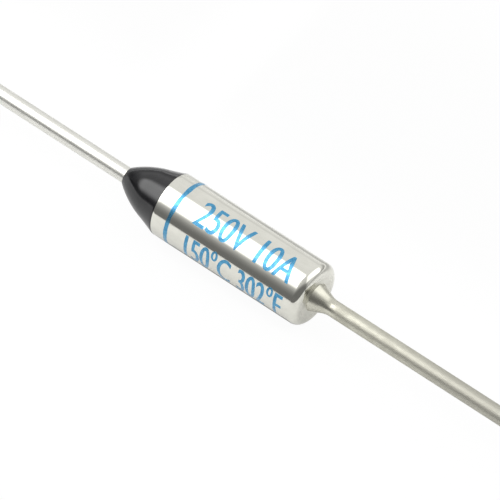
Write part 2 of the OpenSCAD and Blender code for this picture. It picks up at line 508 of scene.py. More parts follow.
def lathe(
    name: str, outline: Outline, closed: bool, segments: int, sharp_deg: float = 25.0
) -> bpy.types.Object:
    """Turns a half section about the X axis into a mesh piece.

    Args:
        name: Name of the new piece.
        outline: Half section. An open one starts and ends on the axis.
        closed: Whether the last point joins the first, as on a hollow piece.
        segments: Faces around the axis.
        sharp_deg: Least turn of the section that stays a hard edge.

    Returns:
        The piece, with its wear and painted shade held at each point.
    """
    mesh = bmesh.new()
    worn = mesh.verts.layers.float.new(WEAR_AND_SHADE_LAYER)
    turns = [2 * math.pi * k / segments for k in range(segments)]
    rings: list[list[bmesh.types.BMVert]] = []
    for (x, r), wear in zip(outline.points, outline.worn):
        around = turns if r > 0 else turns[:1]
        ring = [mesh.verts.new(Vector((x, r * math.cos(t), r * math.sin(t))) * MM) for t in around]
        for vertex in ring:
            vertex[worn] = wear.value
        rings.append(ring)
    pairs = list(zip(rings, rings[1:]))
    if closed:
        pairs.append((rings[-1], rings[0]))
    for low, high in pairs:
        for k in range(segments):
            corners = [low[k % len(low)], low[(k + 1) % len(low)]]
            corners += [high[(k + 1) % len(high)], high[k % len(high)]]
            mesh.faces.new(list(dict.fromkeys(corners)))
    bmesh.ops.recalc_face_normals(mesh, faces=mesh.faces)
    for face in mesh.faces:
        face.smooth = True
    for edge in mesh.edges:
        edge.smooth = edge.calc_face_angle(0.0) < math.radians(sharp_deg)
    data = bpy.data.meshes.new(name)
    mesh.to_mesh(data)
    mesh.free()
    return add_piece(name, data)


class GeometryTree(NodeTree):
    """A Geometry Nodes tree while it is being put together."""

    def __init__(self, name: str) -> None:
        """Starts a tree that gives geometry.

        Args:
            name: Name of the new tree.
        """
        super().__init__(bpy.data.node_groups.new(name, "GeometryNodeTree"))
        self.tree.interface.new_socket("Geometry", in_out="OUTPUT", socket_type="NodeSocketGeometry")
        self.entry = self.tree.nodes.new("NodeGroupInput")
        self.output = self.tree.nodes.new("NodeGroupOutput").inputs["Geometry"]
        self.values: dict[str, object] = {}

    def input(self, name: str, value: object, kind: str = "Float") -> Socket:
        """Adds a named input.

        Args:
            name: Name of the input.
            value: What it holds when the tree runs.
            kind: Blender's word for what it takes.

        Returns:
            The input's socket inside the tree.
        """
        item = self.tree.interface.new_socket(name, in_out="INPUT", socket_type=f"NodeSocket{kind}")
        self.values[item.identifier] = value
        return self.entry.outputs[name]

    def grow(self, name: str, mesh: Socket, material: Socket) -> bpy.types.Object:
        """Ends the tree, runs it and keeps the result as a plain mesh.

        Args:
            name: Name of the new piece.
            mesh: Geometry that the tree ends with.
            material: Input that holds the finish.

        Returns:
            The piece, with no modifier.
        """
        realized = self.add("GeometryNodeRealizeInstances", mesh)
        dressed = self.add("GeometryNodeSetMaterial", realized, None, material)
        self.link(dressed, self.output)
        carrier = add_piece(f"{name}_carrier", bpy.data.meshes.new(f"{name}_carrier"))
        modifier = carrier.modifiers.new(name, "NODES")
        modifier.node_group = self.tree
        for identifier, value in self.values.items():
            modifier[identifier] = value
        evaluated = carrier.evaluated_get(bpy.context.evaluated_depsgraph_get())
        data = bpy.data.meshes.new_from_object(evaluated)
        data.name = name
        carrier.modifiers.clear()
        bpy.data.objects.remove(carrier)
        return add_piece(name, data)


def dress(data: bpy.types.Mesh, material: bpy.types.Material) -> None:
    """Gives a mesh one finish in place of any that it has."""
    data.materials.clear()
    data.materials.append(material)


def add_sheet(
    name: str, low: Point, high: Point, height: float, material: bpy.types.Material
) -> bpy.types.Object:
    """Puts a flat rectangle into the scene.

    Args:
        name: Name of the new sheet.
        low: Its corner at the least X and Y.
        high: Its corner at the greatest X and Y.
        height: Its place along Z.
        material: Its finish.

    Returns:
        The sheet.
    """
    corners = [low, (high[0], low[1]), high, (low[0], high[1])]
    data = bpy.data.meshes.new(name)
    data.from_pydata([(x, y, height) for x, y in corners], [], [range(len(corners))])
    dress(data, material)
    return add_piece(name, data)


def settle(piece: bpy.types.Object, material: bpy.types.Material, slot: Slot, *nodes: str) -> None:
    """Dresses a finished piece and ties it to the frame.

    Args:
        piece: Piece at its place.
        material: Its finish.
        slot: Material slot that it belongs to; not used.
        nodes: Nodes of the frame that it stands for.
    """
    dress(piece.data, material)
    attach(piece, ROOT)
    if nodes:
        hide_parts(*nodes)
    LOG.info("%s: %d faces", piece.name, len(piece.data.polygons))


@dataclass
class Case:
    """Drawn can, rolled over at its open rim and pierced at its closed end, with sizes in millimetres."""

    radius: float
    left: float
    right: float
    wall: float = 0.30
    mouth_wall: float = 0.18
    floor: float = 0.45
    lip_reach: float = 0.50
    rim_round: float = 0.25
    ease_deg: float = 8.0
    ease_len: float = 0.22
    rim_steps: int = 16
    end_round: float = 0.50
    end_steps: int = 24
    dull_fade: float = 0.25
    floor_round: float = 0.25
    flange_len: float = 2.2
    hole_radius: float = 0.52
    sink_radius: float = 0.87
    sink_depth: float = 0.25
    segments: int = 256

    @classmethod
    def from_frame(cls, radius: float) -> "Case":
        """Takes the can's ends from the frame.

        Args:
            radius: Radius of the can.

        Returns:
            The can.
        """
        low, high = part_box("case")
        return cls(radius=radius, left=low.x / MM, right=high.x / MM)

    def ease_drop(self) -> float:
        """Gives how far below the wall the bend's arc hands over to its softer end."""
        return self.ease_len / 2 * math.tan(math.radians(self.ease_deg))

    def rim_centre(self) -> Point:
        """Gives the middle of the bend's arc."""
        top = self.rim_round * math.cos(math.radians(self.ease_deg))
        return self.left + self.rim_round, self.radius - self.ease_drop() - top

    def rim_radius(self, x: float) -> float:
        """Gives the outside radius of the rolled rim at a place along the axis.

        Args:
            x: Place along the axis.

        Returns:
            The radius there, which is the wall's after the bend.
        """
        centre = self.rim_centre()
        ease_start = centre[0] - self.rim_round * math.sin(math.radians(self.ease_deg))
        if x < ease_start:
            return centre[1] + math.sqrt(self.rim_round**2 - (centre[0] - x) ** 2)
        left_over = max(1.0 - (x - ease_start) / self.ease_len, 0.0)
        return self.radius - self.ease_drop() * left_over**2

    def outline(self) -> Outline:
        """Draws the can's section, once around its metal.

        Returns:
            The section, dull on the end face and inside.
        """
        bore = self.radius - self.wall
        floor = self.right - self.floor
        ledge = self.left + self.mouth_wall + self.flange_len
        mouth = self.radius - self.mouth_wall
        lip = self.radius - self.lip_reach
        end = (self.right - self.end_round, self.radius - self.end_round)
        corner = (floor - self.floor_round, bore - self.floor_round)
        outline = Outline().to((self.left, lip))
        outline.arc(self.rim_centre(), self.rim_round, 180, 90 + self.ease_deg, self.rim_steps)
        ease = outline.points[-1][0] + self.ease_len / 2
        outline.curve((ease, self.radius), (ease + self.ease_len / 2, self.radius))
        outline.arc(end, self.end_round, 90, 0, self.end_steps).finish(Wear.DULL)
        outline.to((self.right, end[1] - self.dull_fade), (self.right, self.hole_radius))
        outline.to((floor + self.sink_depth, self.hole_radius), (floor, self.sink_radius))
        outline.arc(corner, self.floor_round, 0, 90)
        outline.to((ledge, bore), (ledge, mouth), (self.left + self.mouth_wall, mouth))
        return outline.to((self.left + self.mouth_wall, lip))

    def build(self, material: bpy.types.Material) -> None:
        """Makes the can in place of its node."""
        settle(lathe("case_shell", self.outline(), True, self.segments), material, Slot.CASE, "case")


@dataclass
class CaseLead:
    """Wire riveted into the closed end, with a flared shoulder, with sizes in millimetres."""

    tail: float
    tip: float
    seat: float
    radius: float
    shoulder_radius: float = 0.885
    shoulder_deg: float = 21.0
    fillet: float = 1.35
    fillet_steps: int = 16
    rivet_radius: float = 0.85
    rivet_depth: float = 0.25
    chamfer: float = 0.10
    burnished_len: float = 0.5
    # Length over which painted shade darkens the wire towards its cut end.
    shade_len: float = 10.0
    segments: int = 128

    @classmethod
    def from_frame(cls, seat: float, radius: float) -> "CaseLead":
        """Takes the wire's ends from the frame.

        Args:
            seat: Place of the closed end along the axis.
            radius: Radius of the wire.

        Returns:
            The lead.
        """
        low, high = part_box("case_lead")
        return cls(tail=low.x / MM, tip=high.x / MM, seat=seat, radius=radius)

    def outline(self) -> Outline:
        """Draws the wire's section from its riveted tail to its cut end.

        Returns:
            The section, dull past the shoulder and darkened further out by painted shade.
        """
        slope = math.radians(self.shoulder_deg)
        apex = self.seat + (self.shoulder_radius - self.radius) / math.tan(slope)
        curve_end = apex + self.fillet * math.tan(slope / 2)
        dull_start = curve_end + self.burnished_len
        curve = (curve_end, self.radius + self.fillet)
        outline = Outline().to((self.tail, 0.0), (self.tail, self.rivet_radius))
        outline.to((self.tail + self.rivet_depth, self.radius), (self.seat, self.radius))
        outline.to((self.seat, self.shoulder_radius))
        outline.arc(curve, self.fillet, -90 - self.shoulder_deg, -90, self.fillet_steps)
        # Past the shoulder the wire turns dull, then painted shade darkens it towards the cut end.
        outline.finish(Wear.DULL).to((dull_start, self.radius)).finish(Wear.SHADED)
        outline.to((dull_start + self.shade_len, self.radius), (self.tip - self.chamfer, self.radius))
        return outline.to((self.tip, self.radius - self.chamfer), (self.tip, 0.0))

    def build(self, material: bpy.types.Material) -> None:
        """Makes the wire in place of its node."""
        piece = lathe("case_wire", self.outline(), False, self.segments)
        settle(piece, material, Slot.CASE_LEAD, "case_lead")


@dataclass
class IsolatedLead:
    """Wire with a contact head and a swaged collar, held by bushing and resin, with sizes in millimetres."""

    tip: float
    head_end: float
    resin_tip: float
    radius: float
    head_radius: float = 0.85
    head_len: float = 0.45
    head_round: float = 0.20
    head_steps: int = 10
    collar_radius: float = 0.70
    collar_len: float = 0.40
    collar_taper: float = 0.30
    collar_cover: float = 0.10
    chamfer: float = 0.10
    segments: int = 128

    @classmethod
    def from_frame(cls, radius: float) -> "IsolatedLead":
        """Takes the wire's ends and the resin's tip from the frame.

        Args:
            radius: Radius of the wire.

        Returns:
            The lead.
        """
        low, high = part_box("isolated_lead")
        resin_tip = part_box("resin_seal")[0].x / MM
        return cls(tip=low.x / MM, head_end=high.x / MM, resin_tip=resin_tip, radius=radius)

    def collar_places(self) -> tuple[float, float, float]:
        """Works out the collar's places along the axis.

        Returns:
            Where its taper starts, where the collar starts and where it ends.
        """
        swage = self.resin_tip + self.collar_cover
        collar = swage + self.collar_taper
        return swage, collar, collar + self.collar_len

    def outline(self) -> Outline:
        """Draws the wire's section from its cut end to its contact head.

        Returns:
            The section.
        """
        swage, collar, nose = self.collar_places()
        head = self.head_end - self.head_len
        bend = (self.head_end - self.head_round, self.head_radius - self.head_round)
        outline = Outline().to((self.tip, 0.0), (self.tip, self.radius - self.chamfer))
        outline.to((self.tip + self.chamfer, self.radius), (swage, self.radius))
        outline.to((collar, self.collar_radius), (nose, self.collar_radius), (nose, self.radius))
        outline.to((head, self.radius), (head, self.head_radius))
        return outline.arc(bend, self.head_round, 90, 0, self.head_steps).to((self.head_end, 0.0))

    def build(self, material: bpy.types.Material) -> None:
        """Makes the wire in place of its node."""
        piece = lathe("isolated_wire", self.outline(), False, self.segments)
        settle(piece, material, Slot.ISOLATED_LEAD, "isolated_lead")


@dataclass
class ResinSeal:
    """Cast resin over the open end: rounded nose, straight flank and a lap on the rim, in millimetres."""

    case: Case
    lead: IsolatedLead
    inset: float = 0.11
    flank_deg: float = 16.0
    flank_len: float = 0.96
    flare_len: float = 0.50
    flare_ease: float = 0.42
    lap_deg: float = 80.0
    lap_film: float = 0.008
    lap_steps: int = 6
    tip_lap: float = 0.095
    creep: float = 0.027
    creep_tilt: float = 0.0675
    creep_towards: Point = (-0.859, -0.512)
    nose_steps: int = 40
    nose_gap: float = 0.10
    nose_ledge: float = 0.12
    segments: int = 192

    def flank_at(self, reach: float) -> Point:
        """Gives the point of the flank's line at a distance in front of the rim."""
        slope = math.tan(math.radians(self.flank_deg))
        return self.case.left - reach, self.case.radius - self.inset - reach * slope

    def rim_lap(self) -> list[Point]:
        """Lays the resin's film on the rim's bend.

        Returns:
            Its points, from the end of the flare to the resin's edge.
        """
        reach = self.case.rim_round + self.lap_film
        bend = self.case.rim_centre()
        run = Vector(bend) - Vector(self.flank_at(self.flare_len))
        flare = math.degrees(math.atan2(run.y, run.x) + math.asin(reach / run.length))
        return Outline().arc(bend, reach, 90 + flare, 180 - self.lap_deg, self.lap_steps).points

    def outline(self) -> Outline:
        """Draws the resin's section: out over nose, flank and rim, then back over bushing and collar.

        Returns:
            The section.
        """
        case, lead = self.case, self.lead
        slope = math.radians(self.flank_deg)
        flank_end = Vector(self.flank_at(self.flank_len))
        tip = Vector((lead.resin_tip, lead.radius + self.tip_lap))
        normal = Vector((-math.sin(slope), math.cos(slope)))
        chord = tip - flank_end
        nose_round = -chord.length_squared / (2 * normal.dot(chord))
        centre = flank_end - nose_round * normal
        start = math.degrees(math.atan2(tip.y - centre.y, tip.x - centre.x))
        lap_start, *lap = self.rim_lap()
        swage, collar, nose = lead.collar_places()
        seat = case.left + case.mouth_wall
        lip = case.radius - case.lip_reach
        outline = Outline().to((lead.resin_tip, lead.radius))
        outline.arc(tuple(centre), nose_round, start, 90 + self.flank_deg, self.nose_steps)
        outline.to(self.flank_at(self.flare_len + self.flare_ease))
        outline.curve(self.flank_at(self.flare_len), lap_start).to(*lap)
        outline.arc(case.rim_centre(), case.rim_round, 180 - self.lap_deg, 180)
        outline.to((case.left, lip), (seat, lip), (seat, lip - self.nose_gap))
        outline.to((nose, lead.collar_radius + self.nose_ledge), (nose, lead.collar_radius))
        return outline.to((collar, lead.collar_radius), (swage, lead.radius))

    def spread_lap(self, data: bpy.types.Mesh) -> None:
        """Spreads the resin along the rim, further on the side that it crept towards.

        Args:
            data: Mesh of the seal.
        """
        lap = self.rim_lap()
        start, width = lap[0][0], lap[-1][0] - lap[0][0]
        for vertex in data.vertices:
            x, r, way = vertex.co.x / MM, vertex.co.yz.length / MM, vertex.co.yz.normalized()
            if x <= start:
                continue
            film = r - self.case.rim_radius(x)
            if film > -self.lap_film:
                creep = self.creep + self.creep_tilt * way.dot(Vector(self.creep_towards))
                moved = x + creep * (x - start) / width
                vertex.co = Vector((moved, *(way * (self.case.rim_radius(moved) + film)))) * MM

    def build(self, material: bpy.types.Material) -> None:
        """Makes the seal in place of its node, with an edge that isn't quite square to the axis.

        Args:
            material: Resin.
        """
        piece = lathe("resin_cone", self.outline(), True, self.segments)
        self.spread_lap(piece.data)
        settle(piece, material, Slot.RESIN, "resin_seal")


@dataclass(frozen=True)
class PrintLine:
    """One line of print, with its start from the rim and its length in millimetres."""

    name: str
    text: str
    start: float
    length: float
    baseline_deg: float


@dataclass
class Print:
    """Blue ring and two lines of ratings stamped on the can, with sizes in millimetres."""

    case: Case
    film: float = 0.004
    sunk: float = 0.001
    seam_share: float = 0.1
    ring_place: float = 1.35
    ring_width: float = 0.27
    ring_ragged: float = 0.04
    ring_blot: float = 0.5
    letter_height: float = 1.76
    height_share: float = 0.73
    step: float = 0.03
    bold: float = 0.045
    soften: int = 40
    lines: tuple[PrintLine, ...] = (
        PrintLine("print_rating", "250V 10A", start=2.70, length=6.9, baseline_deg=51.6),
        PrintLine("print_limit", "150°C 302°F", start=2.50, length=7.0, baseline_deg=-18.0),
    )

    def ring(self) -> bpy.types.Object:
        """Makes the ring as a thin film around the can, with slightly uneven edges.

        Returns:
            The ring.
        """
        middle, half = self.case.left + self.ring_place, self.ring_width / 2
        low, high = middle - half, middle + half
        inner, outer = self.case.radius - self.sunk, self.case.radius + self.film
        outline = Outline().to((low, inner), (low, outer), (high, outer), (high, inner))
        piece = lathe("print_ring", outline, True, self.case.segments)
        for vertex in piece.data.vertices:
            side = math.copysign(self.ring_ragged * MM, vertex.co.x - middle * MM)
            vertex.co.x += side * noise.noise(vertex.co / (self.ring_blot * MM))
        return piece

    def letters(self, tree: GeometryTree, line: PrintLine) -> Socket:
        """Sets one line of letters on a flat sheet, a little bolder and squeezed to its length.

        Args:
            tree: Tree of the line.
            line: Text and length of the line.

        Returns:
            The flat letters.
        """
        text = tree.input("Text", line.text, "String")
        size = tree.input("Letter Size", self.letter_height / self.height_share * MM)
        length = tree.input("Length", line.length * MM)
        step = tree.input("Step", self.step * MM)
        bold = tree.input("Bold", self.bold * MM)
        soften = tree.input("Soften", self.soften, "Int")
        words = tree.add("GeometryNodeStringToCurves", text, size)
        letters = tree.add("GeometryNodeRealizeInstances", words)
        low, high = (
            tree.part(tree.named("GeometryNodeBoundBox", corner, Geometry=letters, Use_Radius=False), Axis.X)
            for corner in ("Min", "Max")
        )
        narrow = tree.math("DIVIDE", length, tree.minus(high, low))
        dense = tree.add("GeometryNodeResampleCurve", letters, None, step, mode="LENGTH")
        run = tree.part(tree.add("GeometryNodeInputTangent"), Axis.Y)
        wide = tree.times(run, tree.math("DIVIDE", bold, narrow))
        eased = tree.add("GeometryNodeBlurAttribute", wide, soften)
        heavy = tree.add("GeometryNodeSetPosition", dense, None, None, tree.vector(eased, 0.0, 0.0))
        squeezed = tree.add("GeometryNodeTransform", heavy, None, None, tree.vector(narrow, 1.0, 1.0))
        return tree.add("GeometryNodeFillCurve", squeezed, mode="TRIANGLES")

    def stamp(self, line: PrintLine, material: bpy.types.Material) -> bpy.types.Object:
        """Lays one line of letters on the can as a thin film.

        Args:
            line: Text and place of the line.
            material: Ink.

        Returns:
            The letters as one piece.
        """
        tree = GeometryTree(line.name)
        start = tree.input("Start", (self.case.left + line.start) * MM)
        baseline = tree.input("Baseline", math.radians(line.baseline_deg))
        radius = tree.input("Radius", (self.case.radius - self.sunk) * MM)
        film = tree.input("Film", (self.film + self.sunk) * MM)
        ink = tree.input("Ink", material, "Material")
        flat = self.letters(tree, line)
        place = tree.add("GeometryNodeInputPosition")
        along = tree.plus(tree.part(place, Axis.X), start)
        angle = tree.plus(tree.math("DIVIDE", tree.part(place, Axis.Y), radius), baseline)
        front = tree.times(tree.times(radius, -1.0), tree.math("COSINE", angle))
        rise = tree.times(radius, tree.math("SINE", angle))
        wrapped = tree.add("GeometryNodeSetPosition", flat, None, tree.vector(along, front, rise))
        raised = tree.add("GeometryNodeExtrudeMesh", wrapped, None, None, film, False, mode="FACES")
        joined = tree.tree.nodes.new("GeometryNodeJoinGeometry")
        for part in (raised, tree.add("GeometryNodeFlipFaces", wrapped)):
            tree.link(part, joined.inputs["Geometry"])
        seam = self.seam_share * self.sunk * MM
        closed = tree.add("GeometryNodeMergeByDistance", joined.outputs["Geometry"], None, seam)
        return tree.grow(line.name, closed, ink)

    def build(self, material: bpy.types.Material) -> None:
        """Makes the ring and the lines.

        Args:
            material: Ink.
        """
        settle(self.ring(), material, Slot.INK)
        for line in self.lines:
            settle(self.stamp(line, material), material, Slot.INK)


@dataclass
class CoilSpring:
    """Coil of round wire with closed ends ground flat, with sizes in millimetres."""

    node: str
    wire: float
    turns: float
    foot_radius: float
    top_radius: float
    belly: float = 0.0
    closed_pitch: float = 1.08
    ground_share: float = 0.25
    rings_per_turn: int = 48
    sides: int = 16

    def centre_line(self, tree: GeometryTree, low: Socket, high: Socket, wire: Socket) -> Socket:
        """Winds the line in the middle of the wire, with a closed turn at each end.

        Args:
            tree: Tree of the spring.
            low: Where the spring starts along the axis.
            high: Where it ends.
            wire: Thickness of its wire.

        Returns:
            The line.
        """
        turns = tree.input("Turns", self.turns)
        pitch = tree.input("Closed Pitch", self.closed_pitch * self.wire * MM)
        bite = tree.input("Ground Off", self.ground_share * self.wire * MM)
        foot = tree.input("Foot Radius", self.foot_radius * MM)
        top = tree.input("Top Radius", self.top_radius * MM)
        belly = tree.input("Belly", self.belly * MM)
        rings = tree.input("Rings", round(self.turns * self.rings_per_turn) + 1, "Int")
        line = tree.add("GeometryNodeCurvePrimitiveLine", (0, 0, 0), (1, 0, 0))
        path = tree.add("GeometryNodeResampleCurve", line, None, rings, mode="COUNT")
        share = tree.add("GeometryNodeSplineParameter")
        turn = tree.times(share, turns)
        last = tree.minus(turns, 1.0)
        inset = tree.minus(tree.times(wire, 0.5), bite)
        rise = tree.minus(tree.minus(high, low), tree.times(inset, 2.0))
        open_rise = tree.minus(rise, tree.times(pitch, 2.0))
        first_turn = tree.ramp(turn, (0.0, 1.0), 0.0, pitch, Ramp.EVEN)
        last_turn = tree.ramp(turn, (last, turns), 0.0, pitch, Ramp.EVEN)
        middle = tree.ramp(turn, (1.0, last), 0.0, open_rise, Ramp.EVEN)
        height = tree.plus(tree.plus(first_turn, last_turn), middle)
        along = tree.plus(tree.plus(low, inset), height)
        angle = tree.times(turn, 2 * math.pi)
        bulge = tree.times(belly, tree.math("SINE", tree.times(share, math.pi)))
        cone = tree.math("MULTIPLY_ADD", tree.minus(top, foot), share, foot)
        radius = tree.plus(cone, bulge)
        across = tree.times(radius, tree.math("SINE", angle))
        down = tree.times(tree.times(radius, -1.0), tree.math("COSINE", angle))
        return tree.add("GeometryNodeSetPosition", path, None, tree.vector(along, across, down))

    def build(self, material: bpy.types.Material) -> None:
        """Winds the coil between the ends of its node, grinds it flat there and puts it in the node's place.

        Args:
            material: Spring wire's finish.
        """
        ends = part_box(self.node)
        tree = GeometryTree(self.node)
        low = tree.input("Low", ends[0].x)
        high = tree.input("High", ends[1].x)
        wire = tree.input("Wire", self.wire * MM)
        steel = tree.input("Steel", material, "Material")
        coil = self.centre_line(tree, low, high, wire)
        half = tree.times(wire, 0.5)
        ring = tree.add("GeometryNodeCurvePrimitiveCircle", self.sides, half, mode="RADIUS")
        tube = tree.add("GeometryNodeCurveToMesh", coil, ring, None, True)
        place = tree.add("GeometryNodeInputPosition")
        ground = tree.add("ShaderNodeClamp", tree.part(place, Axis.X), low, high)
        level = tree.vector(ground, tree.part(place, Axis.Y), tree.part(place, Axis.Z))
        flat = tree.add("GeometryNodeSetPosition", tube, None, level)
        piece = tree.grow(f"{self.node}_coil", flat, steel)
        piece.data.shade_smooth()
        settle(piece, material, Slot.SPRING, self.node)


class InnerStack:
    """Sealed pieces between the leads: smooth coils, and solids that stay as the frame gives them."""

    STEEL = DrawnMetal(
        "spring_wire", bright=(0.50, 0.51, 0.53), dark=(0.38, 0.39, 0.41), smooth=0.25, rough=0.36
    )
    CERAMIC = Grained(
        "fired_ceramic", light=(0.86, 0.83, 0.76), dark=(0.78, 0.74, 0.66), grain_mm=0.08, roughness=0.62
    )
    PELLET = Grained(
        "pressed_pellet", light=(0.74, 0.64, 0.44), dark=(0.62, 0.52, 0.33), grain_mm=0.15, roughness=0.70
    )
    SILVER = DrawnMetal(
        "silver_plate", bright=(0.86, 0.84, 0.80), dark=(0.76, 0.74, 0.70), smooth=0.14, rough=0.24
    )
    BRASS = DrawnMetal(
        "stamped_brass", bright=(0.74, 0.58, 0.27), dark=(0.66, 0.50, 0.22), smooth=0.22, rough=0.34
    )
    SOLIDS = (
        (CERAMIC, "ceramic_bushing"),
        (PELLET, "thermal_pellet"),
        (SILVER, "star_contact"),
        (BRASS, "pellet_disc", "contact_disc"),
    )
    COILS = (
        CoilSpring("barrel_spring", wire=0.36, turns=4.5, foot_radius=1.011, top_radius=1.011, belly=0.209),
        CoilSpring("trip_spring", wire=0.18, turns=3.0, foot_radius=1.09, top_radius=1.22),
    )

    def build(self) -> None:
        """Dresses the solids and winds the coils."""
        for finish, *nodes in self.SOLIDS:
            material = finish.make()
            for node in nodes:
                dress(frame["nodes"][node].data, material)
                LOG.info("%s: dressed", node)
        steel = self.STEEL.make()
        for coil in self.COILS:
            coil.build(steel)


@dataclass(frozen=True)
class Panel:
    """Soft light seen from the object at an angle to the side and a rise.

    The angle is towards +X and the rise is from -Y over the top. The four marks along and across are where
    the light starts, is full, starts to fall and ends, as shares of the distance. The upper edge droops
    from a place along the panel towards its start.
    """

    name: str
    side_deg: float
    rise_deg: float
    distance: float
    radiance: float
    along: Marks
    across: Marks
    droop: float = 0.0
    droop_start: float = 0.0

    def axes(self) -> Matrix:
        """Works out where the panel hangs and how it is turned.

        Returns:
            Its own axes, along the object, across it and away from it, at its place.
        """
        side, rise = math.radians(self.side_deg), math.radians(self.rise_deg)
        reach = math.cos(side)
        away = Vector((math.sin(side), -reach * math.cos(rise), reach * math.sin(rise)))
        across = Vector((0.0, math.sin(rise), math.cos(rise)))
        turned = Matrix((across.cross(away), across, away)).transposed().to_4x4()
        return Matrix.Translation(away * self.distance) @ turned

    def glow(self) -> bpy.types.Material:
        """Builds a light that fades towards the panel's edges.

        Returns:
            The panel's material.
        """
        shader = Shader(self.name)
        along, across = shader.part(shader.place, Axis.X), shader.part(shader.place, Axis.Y)
        before = shader.minus(self.droop_start * self.distance, along)
        lower = shader.math("MULTIPLY_ADD", shader.math("MAXIMUM", before, 0.0), self.droop, across)
        strength: Socket | float = self.radiance
        for low, high, marks in ((along, along, self.along), (across, lower, self.across)):
            window = shader.within(low, high, tuple(mark * self.distance for mark in marks))
            strength = shader.times(window, strength)
        light = shader.named("ShaderNodeEmission", "Emission", Strength=strength)
        clear = shader.add("ShaderNodeBsdfTransparent")
        shader.link(shader.add("ShaderNodeAddShader", light, clear), shader.output)
        return shader.material

    def build(self) -> None:
        """Hangs the panel in its place, out of the camera's sight."""
        low = (self.along[0] * self.distance, self.across[0] * self.distance)
        high = (self.along[-1] * self.distance, self.across[-1] * self.distance)
        panel = add_sheet(self.name, low, high, 0.0, self.glow())
        panel.matrix_world = self.axes()
        panel.visible_camera = False


